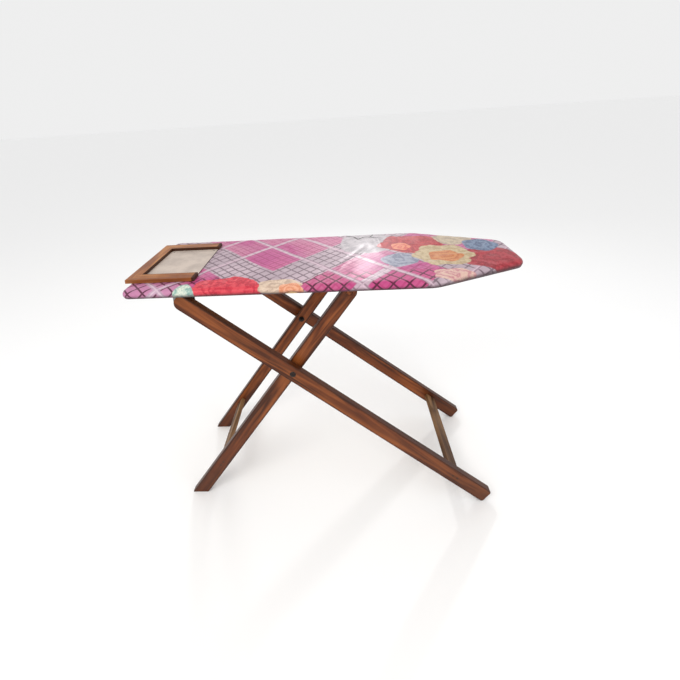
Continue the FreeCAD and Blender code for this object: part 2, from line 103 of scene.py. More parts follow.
# Padding, in metres
PAD_LOOP_STEP = 0.012
PAD_GAP = 0.0008             # between the padding and the cloth's inner face
PAD_SINK = 0.0004            # further gap under the cloth's top
PAD_LIFT = 0.0003            # gap over the deck
PAD_CROWN = 0.9              # share of the cover's rise
PAD_SHARES = (0.0, 0.2, 0.4, 0.6, 0.75, 0.88, 1.0)
PAD_ROLL = EDGE_ROLL - 0.003
PAD_ROLL_DEGREES = (30, 60, 85)
PAD_UNDER_INSETS = (0.0034, 0.030)

# Camera, in the frame's metres and radians
CAMERA_PLACE = Vector((0.0650, -1.2061, 1.3496))
CAMERA_YAW, CAMERA_PITCH, CAMERA_ROLL = -0.06467, 0.23351, -0.06761
CAMERA_LENS, CAMERA_SENSOR = 19.68, 36.0
CAMERA_SHIFT = (0.0343, -0.2132)

# Room
FLOOR_SIZE = 80
FLOOR_DROP = 0.0005          # below the feet
FLOOR_COLOUR = (0.97, 0.97, 0.97, 1)
WORLD_STRENGTH = 0.86


# ------------------------------------------------------------------ camera, floor and light

def make_camera():
    forward = Vector((math.sin(CAMERA_YAW) * math.cos(CAMERA_PITCH),
                      math.cos(CAMERA_YAW) * math.cos(CAMERA_PITCH), -math.sin(CAMERA_PITCH)))
    level = Vector((math.cos(CAMERA_YAW), -math.sin(CAMERA_YAW), 0))
    upright = level.cross(forward)
    right = level * math.cos(CAMERA_ROLL) + upright * math.sin(CAMERA_ROLL)
    up = upright * math.cos(CAMERA_ROLL) - level * math.sin(CAMERA_ROLL)
    data = bpy.data.cameras.new("camera")
    data.lens, data.sensor_width = CAMERA_LENS, CAMERA_SENSOR
    data.shift_x, data.shift_y = CAMERA_SHIFT
    camera = bpy.data.objects.new("camera", data)
    turn = Matrix((right, up, -forward)).transposed().to_4x4()
    camera.matrix_world = Matrix.Translation(CAMERA_PLACE) @ turn
    bpy.context.collection.objects.link(camera)
    bpy.context.scene.camera = camera


def area_light(name, place, target, size, power, colour=(1, 1, 1), lean=(0, 0, 1)):
    """A soft light aimed at a target, its second size along lean."""
    data = bpy.data.lights.new(name, "AREA")
    data.shape = "RECTANGLE"
    data.size, data.size_y = size
    data.energy = power
    data.color = colour
    light = bpy.data.objects.new(name, data)
    back = (Vector(place) - Vector(target)).normalized()
    across = Vector(lean).cross(back).normalized()
    turn = Matrix((across, back.cross(across), back)).transposed().to_4x4()
    light.matrix_world = Matrix.Translation(place) @ turn
    bpy.context.collection.objects.link(light)


def make_room():
    """A wide white floor, a white surround, two soft lamps and the bright strip that shines on the cover."""
    bpy.ops.mesh.primitive_plane_add(size=FLOOR_SIZE, location=(0, 0, -FLOOR_DROP))
    floor = bpy.context.object
    floor.name = "floor"
    paint = Graph("floor_paint")
    paint.shader(colour=FLOOR_COLOUR, roughness=0.9, specular=0.1)
    floor.data.materials.append(paint.material)
    world = bpy.data.worlds.new("studio")
    bpy.context.scene.world = world
    world.use_nodes = True
    background = world.node_tree.nodes["Background"]
    background.inputs["Color"].default_value = (1.0, 1.0, 1.0, 1)
    background.inputs["Strength"].default_value = WORLD_STRENGTH
    area_light("key", (-1.4, -2.2, 3.0), (0, 0, 0.5), (1.6, 1.6), 38, (1.0, 0.97, 0.93))
    area_light("fill", (2.2, -1.6, 1.4), (0, 0, 0.4), (1.6, 1.6), 10, (0.95, 0.97, 1.0))
    area_light("window", (0.27, 2.1, 1.91), (0.12, -0.1, 0.84), (0.06, 0.36), 11.0, lean=(-0.2, 0, 0.28))
    bpy.context.scene.view_settings.view_transform = "Standard"


# ------------------------------------------------------------------ material graphs

COAT_ROUGHNESS = 0.22        # of the varnish and of the cloth's finish


class Term:
    """A value in a node tree, with arithmetic that adds the maths nodes."""

    def __init__(self, graph, socket):
        self.graph, self.socket = graph, socket

    def __add__(self, other):
        return self.graph.maths("ADD", self, other)

    def __sub__(self, other):
        return self.graph.maths("SUBTRACT", self, other)

    def __rsub__(self, other):
        return self.graph.maths("SUBTRACT", other, self)

    def __mul__(self, other):
        return self.graph.maths("MULTIPLY", self, other)

    def __truediv__(self, other):
        return self.graph.maths("DIVIDE", self, other)


class Graph:
    """A material being written: each method adds one node and returns its output."""

    def __init__(self, name):
        self.material = bpy.data.materials.new(name)
        self.material.use_nodes = True
        self.tree = self.material.node_tree
        self.principled = self.tree.nodes["Principled BSDF"]

    def put(self, socket, value):
        if isinstance(value, Term):
            self.tree.links.new(value.socket, socket)
        else:
            socket.default_value = value

    def node(self, kind, **settings):
        made = self.tree.nodes.new(kind)
        for key, value in settings.items():
            setattr(made, key, value)
        return made

    def maths(self, operation, *values):
        made = self.node("ShaderNodeMath", operation=operation)
        for socket, value in zip(made.inputs, values):
            self.put(socket, value)
        return Term(self, made.outputs[0])

    def step(self, value, zero, one):
        """0 at one value and beyond, 1 at the other and beyond, smooth between."""
        made = self.node("ShaderNodeMapRange", interpolation_type="SMOOTHSTEP")
        self.put(made.inputs["Value"], value)
        made.inputs["From Min"].default_value = zero
        made.inputs["From Max"].default_value = one
        return Term(self, made.outputs["Result"])

    def mix(self, share, first, second):
        made = self.node("ShaderNodeMix", data_type="RGBA")
        self.put(made.inputs["Factor"], share)
        self.put(made.inputs["A"], first)
        self.put(made.inputs["B"], second)
        return Term(self, made.outputs["Result"])

    def place(self, output="Object"):
        return Term(self, self.node("ShaderNodeTexCoord").outputs[output])

    def cloth_place(self):
        """The place on the flat cloth, from the broad end's middle."""
        return Term(self, self.node("ShaderNodeUVMap", uv_map="cloth").outputs[0])

    def split(self, vector):
        made = self.node("ShaderNodeSeparateXYZ")
        self.put(made.inputs[0], vector)
        return [Term(self, out) for out in made.outputs]

    def join(self, x, y):
        made = self.node("ShaderNodeCombineXYZ")
        self.put(made.inputs["X"], x)
        self.put(made.inputs["Y"], y)
        return Term(self, made.outputs[0])

    def turn(self, vector, rotation, scale=(1, 1, 1)):
        made = self.node("ShaderNodeMapping")
        self.put(made.inputs["Vector"], vector)
        made.inputs["Rotation"].default_value = rotation
        made.inputs["Scale"].default_value = scale
        return Term(self, made.outputs[0])

    def stretch(self, vector, scale):
        return self.turn(vector, (0, 0, 0), scale)

    def noise(self, vector, scale, detail=3.0, roughness=0.55, distortion=0.0):
        made = self.node("ShaderNodeTexNoise")
        self.put(made.inputs["Vector"], vector)
        made.inputs["Scale"].default_value = scale
        made.inputs["Detail"].default_value = detail
        made.inputs["Roughness"].default_value = roughness
        made.inputs["Distortion"].default_value = distortion
        return Term(self, made.outputs["Fac"])

    def bump(self, height, distance, strength):
        made = self.node("ShaderNodeBump")
        made.inputs["Strength"].default_value = strength
        made.inputs["Distance"].default_value = distance
        self.put(made.inputs["Height"], height)
        return Term(self, made.outputs[0])

    def shader(self, colour, roughness, normal=None, metallic=0.0, specular=0.5, coat=0.0, sheen=0.0):
        inputs = self.principled.inputs
        self.put(inputs["Base Color"], colour)
        self.put(inputs["Roughness"], roughness)
        if normal is not None:
            self.put(inputs["Normal"], normal)
        inputs["Metallic"].default_value = metallic
        inputs["Specular IOR Level"].default_value = specular
        inputs["Coat Weight"].default_value = coat
        inputs["Coat Roughness"].default_value = COAT_ROUGHNESS
        inputs["Sheen Weight"].default_value = sheen
        return self.material


def ink(code):
    """A hex colour as a linear one."""
    parts = [int(code[k:k + 2], 16) / 255 for k in (0, 2, 4)]
    return tuple(c / 12.92 if c <= 0.04045 else ((c + 0.055) / 1.055) ** 2.4 for c in parts) + (1.0,)


# ------------------------------------------------------------------ wood, steel and the rest's plate

OUTER_SLOPE, INNER_SLOPE = 38.8, 53.4    # of the legs, in degrees from the floor
OUTER_HALF, INNER_HALF = 0.025, 0.023    # half widths of the legs, in metres
ALONG_X = (0, 0, 0)
ALONG_Y = (0, 0, math.radians(-90))
ALONG_OUTER = (0, math.radians(-OUTER_SLOPE), 0)
ALONG_INNER = (0, math.radians(INNER_SLOPE), 0)
LEG_TONES = ("42200f", "733817", "8f4f26")          # dark, middle and light
WORN_TONES = ("3c2616", "67462b", "8a6846")
HONEY_TONES = ("784220", "a2632f", "ba7d42")
RAW_TONES = ("9a7a52", "bf9f73", "d2b78d")
EDGE_DARK = ink("32160a")
# colour of the painted shade on the iron rest's inner edges and of its dark end grain
REST_SHADE_AND_STAIN = ink("2a120c")
LEG_EDGE_START, LEG_EDGE_FULL = -0.0050, 0.0015  # of the darker edge band, from the leg's edge outwards
FLOOR_DARK_SHARE = 0.55            # how much the feet darken
FLOOR_DARK_TOP, FLOOR_DARK_FULL = 0.24, 0.05         # heights where that starts and is full, in metres
INSIDE_FULL, INSIDE_FADED = 0.0025, 0.0045   # reach of the painted shade from the iron rest's opening
END_FULL, END_FADED = 0.0045, 0.0075         # and of the dark end-grain stain from its rails' open ends


def rest_shade_and_end_stain(g):
    """1 on the iron rest's inner edges, where shade is painted, and on its rails' open ends, where the end
    grain is stained dark.
    """
    x, y, _ = g.split(g.place())
    ragged = g.noise(g.place(), 90.0, 3.0) * 0.003
    # painted shade along the rest's inner edges beside the heat plate
    inside = g.step(g.maths("ABSOLUTE", y) + ragged, REST_OPEN_Y + INSIDE_FADED, REST_OPEN_Y + INSIDE_FULL)
    inside = inside * g.step(x - ragged, REST_OPEN_X - INSIDE_FADED, REST_OPEN_X - INSIDE_FULL)
    # the rails' open ends: real dark end-grain stain
    ends = g.step(x + ragged, rest_high[0] - END_FADED, rest_high[0] - END_FULL)
    return g.maths("MAXIMUM", inside, ends)


def rubbed(g):
    """Patches where handling has worn the finish."""
    return g.step(g.noise(g.place(), 5.0, 4.0, 0.65), 0.50, 0.74)


def leg_edges(g, where, grain, half):
    """1 along a leg's long edges, which are drawn darker."""
    level = (Euler(grain).to_matrix() @ BOLT_PLACE).z
    across = g.maths("ABSOLUTE", g.split(where)[2] - level)
    ragged = g.noise(g.place(), 45.0, 3.0, 0.6) * 0.006
    return g.step(across + ragged, half + LEG_EDGE_START, half + LEG_EDGE_FULL)


def wood(name, tones, grain, roughness, coat=0.0, wear=0.35, leg_half=0.0, rest=False):
    """Timber with rings and pores along its grain, worn in patches and darker near the floor."""
    dark, middle, light = (ink(tone) for tone in tones)
    g = Graph(name)
    where = g.turn(g.place(), grain)
    drift = g.noise(where, 2.6, 2.0)
    streak = g.noise(g.stretch(where, (1.6, 26, 26)), 1.5, 4.0, 0.6, 0.6)
    rings = g.noise(g.stretch(where, (0.9, 11, 11)), 3.2, 2.0, 0.5, 1.2)
    pores = g.noise(g.stretch(where, (7, 320, 320)), 2.0, 2.0, 0.7)
    figure = g.step(streak * 0.6 + rings * 0.4, 0.34, 0.66)
    colour = g.mix(figure, dark, middle)
    colour = g.mix(g.step(rings + drift * 0.5, 0.62, 0.98), colour, light)
    colour = g.mix(g.step(pores, 0.56, 0.70) * 0.45, colour, dark)
    blotch = g.step(g.noise(g.place(), 9.0, 3.0, 0.65), 0.55, 0.78)
    colour = g.mix(blotch * 0.35, colour, dark)
    colour = g.mix(rubbed(g) * wear, colour, light)
    if leg_half:
        # the legs' long edges are drawn darker
        colour = g.mix(leg_edges(g, where, grain, leg_half) * 0.80, colour, EDGE_DARK)
    # the legs are drawn darker towards the floor
    feet = g.step(g.split(g.place())[2] + drift * 0.10, FLOOR_DARK_TOP, FLOOR_DARK_FULL)
    colour = g.mix(feet * FLOOR_DARK_SHARE, colour, dark)
    rough = blotch * 0.16 + pores * 0.12 + (roughness - 0.08)
    if rest:
        # painted shade on the rest's inner edges, real dark stain on the rails' ends
        rest_shade_and_stain = rest_shade_and_end_stain(g)
        colour = g.mix(rest_shade_and_stain * 0.88, colour, REST_SHADE_AND_STAIN)
        rough = rough + rest_shade_and_stain * 0.35
    relief = g.bump(pores * 0.6 + streak * 0.4, 0.0006, 0.55)
    return g.shader(colour, rough, relief, specular=0.20, coat=coat)


def steel(name, base, tint, roughness=0.38, metallic=0.9):
    """Metal with cloudy tone and brown spots."""
    g = Graph(name)
    where = g.place()
    cloud = g.noise(where, 160.0, 4.0, 0.6)
    spots = g.step(g.noise(where, 420.0, 3.0, 0.7), 0.58, 0.72)
    colour = g.mix(cloud, ink(base), ink(tint))
    colour = g.mix(spots * 0.5, colour, ink("4a3020"))
    return g.shader(colour, spots * 0.25 + roughness, g.bump(cloud, 0.0002, 0.4), metallic=metallic)


def plate_enamel():
    """Pale heat plate: faint stains, fine scratches, and a dark edge that is partly bare steel and partly
    painted shade.
    """
    g = Graph("plate_enamel")
    where = g.place()
    cloud = g.noise(where, 14.0, 4.0, 0.6)
    fleck = g.step(g.noise(where, 260.0, 2.0, 0.7), 0.60, 0.70)
    colour = g.mix(g.step(cloud, 0.35, 0.68), ink("c6b7ab"), ink("b0a298"))
    colour = g.mix(fleck * 0.35, colour, ink("8f7f6c"))
    # the plate's side faces are dark: partly bare steel edge, partly painted shade
    upward = g.maths("ABSOLUTE", g.split(g.place("Normal"))[2])
    colour = g.mix(g.step(upward, 0.75, 0.4), colour, ink("3a2620"))
    scratch = g.noise(g.turn(where, (0, 0, 0.5), (8, 240, 1)), 2.0, 2.0)
    relief = g.bump(scratch * 0.5 + cloud, 0.0004, 0.4)
    return g.shader(colour, scratch * 0.15 + 0.36, relief, specular=0.4)


def dress(material, *names):
    for name in names:
        data = nodes[name].data
        data.materials.clear()
        data.materials.append(material)


def dress_frame():
    """Gives every part of wood and steel its material."""
    dress(wood("leg_wood_outer", LEG_TONES, ALONG_OUTER, 0.40, 0.05, leg_half=OUTER_HALF),
          "outer_leg_near", "outer_leg_far")
    dress(wood("leg_wood_inner", LEG_TONES, ALONG_INNER, 0.40, 0.05, leg_half=INNER_HALF),
          "inner_leg_near", "inner_leg_far")
    dress(wood("rung_wood", WORN_TONES, ALONG_Y, 0.55, wear=0.5), "outer_rung", "inner_rung")
    dress(wood("bar_wood", LEG_TONES, ALONG_Y, 0.45, 0.05, wear=0.3), "catch_bar")
    dress(wood("batten_wood", RAW_TONES, ALONG_Y, 0.6, wear=0.3), "heel_batten", "nose_batten")
    dress(wood("cleat_wood", WORN_TONES, ALONG_X, 0.5, wear=0.4), "bar_cleat_near", "bar_cleat_far")
    dress(wood("deck_plywood", RAW_TONES, ALONG_X, 0.62, wear=0.2), "deck_board")
    dress(wood("rest_wood", HONEY_TONES, ALONG_X, 0.38, 0.10, wear=0.40, rest=True),
          "iron_rest_rail_near", "iron_rest_rail_far")
    dress(wood("rest_wood_end", HONEY_TONES, ALONG_Y, 0.38, 0.10, wear=0.40, rest=True), "iron_rest_end")
    dress(plate_enamel(), "iron_rest_plate")
    dress(steel("blackened_steel", "1c1715", "352a26", 0.42, 0.7),
          "cross_bolts", "cross_nuts", "cross_washers")
    dress(steel("browned_steel", "3a2418", "573a26", 0.5, 0.6), "outer_rung_screws", "inner_rung_screws")
    dress(steel("zinc_steel", "8f8f8c", "6e6e6c"), "cross_spacers", "hinge_screws",
          "hinge_bracket_near", "hinge_bracket_far", "bracket_screws", "deck_screws", "iron_rest_screws",
          "iron_rest_tacks", "cover_staples")


# ------------------------------------------------------------------ the cover's print

# Places on the flat cloth, in metres. u and v are the bias directions: x - y and x + y.
PINK_U = ((-0.30, -0.12), (-0.08, 0.083), (0.102, 0.302), (0.323, 0.56),
          (0.75, 0.925), (0.965, 1.14), (1.31, 1.50))
PINK_V = ((-0.27, -0.10), (-0.08, 0.15), (0.345, 0.515), (0.535, 0.705),
          (0.725, 0.86), (1.03, 1.205), (1.225, 1.40))
WHITE_U = (0.0925, 0.3125, 0.945, 1.225)
WHITE_V = (-0.09, 0.525, 0.715, 1.215)
GRID = 0.041                 # spacing of the dark lines
NET = 0.047                  # spacing of the heavy lattice near the edge
NEAR_EDGE = (-0.12, -0.15)   # y where the lattice starts and is full
BROAD_END = (0.22, 0.16)     # x where the broad end's paler tone starts and is full
HEM_SHADE_TOP, HEM_SHADE_FULL = 0.019, 0.005     # heights over the hem where the painted shade starts and is full
THREADS = 5200.0             # of the weave, in radians a metre
FLOWERS = (                  # x from the broad end, y, half sizes, petals, turn, outside, inside, heart
    (0.775, 0.120, 0.105, 0.120, 3, 0.8, "aea6aa", "bfb6ba", "8d858c"),
    (1.075, 0.112, 0.075, 0.058, 4, 0.2, "b5a18c", "cbb9a0", "8b8478"),
    (0.868, -0.055, 0.060, 0.054, 4, 0.7, "858799", "a5a7b6", "666c84"),
    (1.010, -0.168, 0.062, 0.034, 5, 0.4, "cf9a9a", "dfc0ae", "a04060"),
    (0.925, 0.085, 0.114, 0.086, 5, 1.9, "ac3038", "c2484c", "7a1822"),
    (0.888, 0.058, 0.034, 0.034, 5, 0.3, "d86c5a", "e59a78", "b84840"),
    (1.165, -0.066, 0.104, 0.082, 5, 0.9, "9c2833", "b43e48", "661420"),
    (1.160, 0.046, 0.058, 0.058, 5, 0.3, "5c6984", "8090aa", "3c486a"),
    (1.015, -0.028, 0.098, 0.086, 6, 0.1, "b7a282", "cbb894", "a5855c"),
    (1.020, -0.038, 0.058, 0.044, 5, 0.5, "c2784c", "d29260", "a5522f"),
    (0.640, 0.262, 0.060, 0.052, 5, 1.3, "b8456c", "cc6088", "7e2048"),
    (0.300, 0.256, 0.070, 0.050, 5, 0.6, "c22f45", "d9626c", "7e1428"),
    (0.325, -0.208, 0.112, 0.068, 5, 0.4, "cb2a40", "e04a56", "8a1226"),
    (0.195, -0.228, 0.036, 0.052, 3, 1.1, "98b8ae", "dfe3d2", "5f9088"),
    (0.486, -0.200, 0.068, 0.036, 5, 0.2, "c9ae9a", "e0c8b0", "9c8270"),
    (0.522, -0.222, 0.038, 0.032, 5, 0.2, "dd9470", "ecb090", "bd6a48"),
)
TWIGS = ((0.694, 0.196, 0.726, 0.184), (0.722, 0.188, 0.744, 0.144), (0.742, 0.146, 0.766, 0.176),
         (0.764, 0.176, 0.792, 0.166), (0.788, 0.164, 0.806, 0.206), (0.790, 0.168, 0.822, 0.152))


def bands(g, across, spans, soft):
    """1 inside any of the spans."""
    total = 0.0
    for low, high in spans:
        total = g.step(across, low - soft, low + soft) * g.step(across, high + soft, high - soft) + total
    return total


def white_lines(g, u, v, half, soft):
    """1 on the thin white lines, both ways."""
    along_u = bands(g, u, [(place - half, place + half) for place in WHITE_U], soft)
    along_v = bands(g, v, [(place - half, place + half) for place in WHITE_V], soft)
    return g.maths("MAXIMUM", along_u, along_v)


def comb(g, across, spacing, half, soft):
    """1 on evenly spaced lines."""
    return g.step(g.maths("PINGPONG", across, spacing / 2), half + soft, half)


def lattice(g, u, v, spacing, half, soft):
    """1 on evenly spaced lines, both ways."""
    return g.maths("MAXIMUM", comb(g, u, spacing, half, soft), comb(g, v, spacing, half, soft))


def plaid(g, x, y):
    """Bias check: pink cells where two wide bands cross, pale ground between, a dark grid and white lines."""
    u = x - y
    v = x + y
    cell = bands(g, u, PINK_U, 0.004) * bands(g, v, PINK_V, 0.004)
    drift = g.noise(g.join(x, y), 6.0, 3.0, 0.6)
    deep = g.step(g.noise(g.join(x, y), 3.6, 1.0), 0.44, 0.60)
    pink = g.mix(deep, ink("c27c9a"), ink("b9558c"))
    pink = g.mix(g.step(drift, 0.42, 0.66) * 0.5, pink, ink("cd7096"))
    pale = g.mix(g.step(drift, 0.36, 0.62), ink("c6b0ba"), ink("b09ca6"))
    ground = g.mix(cell, pale, pink)
    broken = g.step(g.noise(g.join(x, y), 18.0, 3.0, 0.6), 0.30, 0.50)
    grid = lattice(g, u, v, GRID, 0.0024, 0.0030) * (broken * 0.75 + 0.25)
    thread = g.mix(cell, ink("5a4450"), ink("8c2558"))
    colour = g.mix(grid * (0.78 - cell * 0.30), ground, thread)
    stripe = comb(g, u, GRID / 2, 0.0020, 0.0030) * cell
    colour = g.mix(stripe * 0.34, colour, ink("9c3268"))
    near = g.step(y, *NEAR_EDGE)
    broad_end = g.step(x, *BROAD_END) * near
    colour = g.mix(cell * near * 0.55, colour, ink("bf3474"))
    colour = g.mix(broad_end * 0.50, colour, ink("bd9cba"))
    net = lattice(g, u, v, NET, 0.0029, 0.0018)
    colour = g.mix(net * cell * near * 0.92, colour, ink("4c0f2c"))
    colour = g.mix(white_lines(g, u, v, 0.013, 0.004) * 0.30, colour, ink("c9a4b6"))
    return g.mix(white_lines(g, u, v, 0.0030, 0.002) * 0.62, colour, ink("dcc2ce"))


def flower(g, colour, x, y, spec):
    """A full-blown printed flower with ragged rim and curling petals."""
    cx, cy, rx, ry, petals, turn, outside, inside, heart = spec
    dx = (x - cx) / rx
    dy = (y - cy) / ry
    ragged = g.noise(g.join(x + cx, y), 17.0, 4.0, 0.62)
    reach = g.maths("SQRT", dx * dx + dy * dy)
    angle = g.maths("ARCTAN2", dy, dx)
    wave = g.maths("COSINE", angle * float(petals) + turn)
    rim = wave * 0.07 + ragged * 0.42 + 0.76
    body = g.step(reach / rim, 1.03, 0.97)
    curl = g.maths("COSINE", reach * 9.0 + ragged * 30.0) * 0.5 + 0.5
    streaks = g.maths("COSINE", angle * float(petals * 6) + ragged * 22.0) * 0.5 + 0.5
    tone = g.mix(curl, ink(outside), ink(inside))
    tone = g.mix(streaks * 0.22, tone, ink(heart))
    tone = g.mix(g.step(curl, 0.30, 0.0) * 0.26, tone, ink(heart))
    return g.mix(body, colour, tone)


def twig(g, colour, x, y, line):
    """A short dark printed stroke from one point to another."""
    ax, ay, bx, by = line
    length = math.hypot(bx - ax, by - ay)
    ux, uy = (bx - ax) / length, (by - ay) / length
    along = (x - ax) * ux + (y - ay) * uy
    across = (y - ay) * ux - (x - ax) * uy
    wander = g.noise(g.join(x, y), 60.0, 2.0) * 0.010 - 0.005
    off_line = g.maths("ABSOLUTE", across + wander)
    ends = g.step(along, 0.0, 0.006) * g.step(along, length, length - 0.006)
    return g.mix(g.step(off_line, 0.0048, 0.0030) * ends * 0.9, colour, ink("1d1518"))


def cover_print():
    """The cover's cloth: bias check, flowers, twigs, fading, painted shade along the hem and the weave."""
    g = Graph("cover_print")
    x, y, _ = g.split(g.cloth_place())
    sway_x = g.noise(g.join(x, y), 4.0, 2.0) * 0.016 - 0.008
    sway_y = g.noise(g.join(y, x), 5.0, 2.0) * 0.012 - 0.006
    colour = plaid(g, x + sway_x, y + sway_y)
    for spec in FLOWERS:
        colour = flower(g, colour, x, y, spec)
    for line in TWIGS:
        colour = twig(g, colour, x, y, line)
    fade = g.step(g.noise(g.join(x, y), 11.0, 4.0, 0.65), 0.52, 0.80)
    colour = g.mix(fade * 0.16, colour, ink("d8cdd2"))
    where = g.place()
    ragged = g.noise(where, 30.0, 3.0) * 0.006
    # painted shade: the cloth's side darkens towards the hem, reaching higher round the nose
    height = g.split(where)[2] + ragged - g.step(x, 0.90, 1.06) * 0.006
    hem_shade = g.step(height, HEM_Z + HEM_SHADE_TOP, HEM_Z + HEM_SHADE_FULL)
    colour = g.mix(hem_shade * 0.88, colour, ink("2c0d17"))
    weave = g.maths("SINE", x * THREADS) * g.maths("SINE", y * THREADS)
    slub = g.noise(g.stretch(g.join(x, y), (30, 900, 1)), 1.0, 2.0)
    crease = g.noise(g.join(x, y), 26.0, 4.0, 0.6, 0.4)
    relief = g.bump(weave * 0.10 + slub * 0.25 + crease * 1.6, 0.0016, 0.45)
    return g.shader(colour, slub * 0.10 + crease * 0.12 + 0.34, relief, specular=0.25, coat=0.15)


# ------------------------------------------------------------------ the padded cover's shape

FOLDS = (                    # long soft creases: x, y, direction in degrees, length, height
    (0.10, -0.02, 62, 0.20, 0.0020), (-0.12, 0.08, 118, 0.16, 0.0016), (0.30, -0.10, 24, 0.18, 0.0022),
    (0.38, 0.05, -18, 0.20, 0.0018), (-0.28, -0.12, 80, 0.14, 0.0018), (0.48, -0.03, 12, 0.16, 0.0020),
    (0.20, 0.13, 100, 0.12, 0.0015), (-0.02, -0.15, 92, 0.12, 0.0018), (0.56, 0.04, 70, 0.10, 0.0016),
)


def outline_corners():
    """Corner points and radii, going round anticlockwise from the broad end's near corner."""
    shoulder = NOSE_X - TAPER
    points = [(HEEL_X, -HALF_WIDTH), (shoulder, -HALF_WIDTH), (NOSE_X, -NOSE_HALF),
              (NOSE_X, NOSE_HALF), (shoulder, HALF_WIDTH), (HEEL_X, HALF_WIDTH)]
    radii = [END_RADIUS, SHOULDER_RADIUS, NOSE_RADIUS, NOSE_RADIUS, SHOULDER_RADIUS, END_RADIUS]
    return [Vector(p) for p in points], radii


def outline_arcs():
    """The rounded corners: centre, radius, start angle and sweep."""
    corners, radii = outline_corners()
    arcs = []
    for k, (corner, radius) in enumerate(zip(corners, radii)):
        before = (corners[k - 1] - corner).normalized()
        after = (corners[(k + 1) % len(corners)] - corner).normalized()
        half = before.angle(after) / 2
        centre = corner + (before + after).normalized() * (radius / math.sin(half))
        first = Vector((before.y, -before.x))
        start = math.atan2(first.y, first.x)
        if first.dot(corner - centre) < 0:
            start -= math.pi
        arcs.append((centre, radius, start, math.pi - 2 * half))
    return arcs


def outline_loop(spacing):
    """Points round the outline with their outward normals, closer together in the corners."""
    arcs = outline_arcs()
    loop = []
    for k, (centre, radius, start, sweep) in enumerate(arcs):
        count = max(4, round(radius * sweep / (spacing * 0.5)))
        for j in range(count + 1):
            way = Vector((math.cos(start + sweep * j / count), math.sin(start + sweep * j / count)))
            loop.append((centre + way * radius, way))
        after_centre, after_radius, after_start, _ = arcs[(k + 1) % len(arcs)]
        tail, way = loop[-1]
        head = after_centre + Vector((math.cos(after_start), math.sin(after_start))) * after_radius
        gaps = max(1, round((head - tail).length / spacing))
        loop += [(tail.lerp(head, j / gaps), way) for j in range(1, gaps)]
    return loop


def middle_point(x):
    """The nearest point of the board's middle line, which stops short of both ends."""
    return Vector((min(max(x, HEEL_X + HALF_WIDTH), NOSE_X - NOSE_HALF - MIDDLE_STOP), 0))


def inner_point(point, way, inset, share):
    """A point between the middle line, share 0, and the outline drawn in by inset, share 1."""
    rim = point - way * inset
    return middle_point(rim.x).lerp(rim, share)


def soft_noise(x, y, scale, seed):
    return noise.noise(Vector((x * scale, y * scale, seed)))


def under_rest(x, y):
    """1 under the iron rest, falling to 0 just outside it."""
    outside = max(x - rest_high[0], abs(y) - rest_high[1], 0.0)
    return max(0.0, 1.0 - outside / REST_EASE)


def fold_height(x, y):
    """Rise of the long creases, each with a shallow dip beside it."""
    total = 0.0
    for fold_x, fold_y, degrees, length, height in FOLDS:
        turn = math.radians(degrees)
        dx, dy = x - fold_x, y - fold_y
        along = dx * math.cos(turn) + dy * math.sin(turn)
        across = dy * math.cos(turn) - dx * math.sin(turn) + FOLD_SWAY * math.sin(along * 22)
        crest = math.exp(-(across / FOLD_HALF) ** 2)
        dip = 0.5 * math.exp(-((across - DIP_OFFSET) / DIP_HALF) ** 2)
        total += height * math.exp(-(along / (length / 2)) ** 4) * (crest - dip)
    return total


def top_height(x, y, depth):
    """Rise of the padded top over its flat level, depth being the distance in from the edge."""
    rise = CROWN * (1 - math.exp(-depth / CROWN_REACH))
    rise += SWELL * soft_noise(x, y, 9.0, 1.0) + RIPPLE * soft_noise(x, y, 24.0, 2.0)
    rise += RIM_RIPPLE * soft_noise(x, y, 42.0, 3.0) * math.exp(-depth / RIM_REACH)
    rise += fold_height(x, y)
    press = under_rest(x, y)
    return rise * (1 - press) - REST_PRESS * press


def pucker(distance):
    """Gathers along the edge at uneven spacing, from -1 to 1."""
    value = noise.noise(Vector((distance * 26.0, 0.0, 0.3)))
    value += 0.5 * noise.noise(Vector((distance * 61.0, 0.0, 4.1)))
    return max(-1.0, min(1.0, value))


def notch(point, way):
    """Lift of the hem where it has ridden up on the near side."""
    if way.y >= -0.9:
        return 0.0
    return NOTCH_LIFT * max(0.0, 1 - abs(point.x - HEEL_X - NOTCH_X) / NOTCH_HALF)


def gather_depth(gather, tuck):
    """How far a gather stands out: most half way down the side, and again on the turned-under hem."""
    return gather * (HEM_GATHER if tuck >= HEM_TUCK else SIDE_GATHER * (1 - abs(2 * tuck - 1)))


def edge_profile():
    """Points of the edge's section from the top roll to the hem: out, up, share of the way round."""
    points = []
    for k in range(1, ROLL_POINTS + 1):
        turn = math.radians(90 * k / ROLL_POINTS)
        out = -EDGE_ROLL + (EDGE_ROLL + BULGE) * math.sin(turn)
        points.append((out, TOP_Z - EDGE_ROLL * (1 - math.cos(turn)), ROLL_TUCK * k / ROLL_POINTS))
    side = TOP_Z - EDGE_ROLL
    under = HEM_Z + HEM_RISE
    for share in SIDE_SHARES:
        out = BULGE * math.cos(share * math.pi / 2)
        points.append((out, side + (under + LOW_ROLL - side) * share, SIDE_TUCK + SIDE_EXTENT * share))
    for k in range(1, LOW_POINTS + 1):
        turn = math.radians(90 * k / LOW_POINTS)
        points.append((-LOW_ROLL * (1 - math.cos(turn)), under + LOW_ROLL * (1 - math.sin(turn)), LOW_TUCK))
    for k in range(1, HEM_POINTS + 1):
        points.append((-LOW_ROLL - (HEM - LOW_ROLL) * k / HEM_POINTS, under, HEM_TUCK))
    return points


def outline_distances(loop):
    """How far along the outline each point lies."""
    distances = [0.0]
    for (a, _), (b, _) in zip(loop, loop[1:]):
        distances.append(distances[-1] + (b - a).length)
    return distances


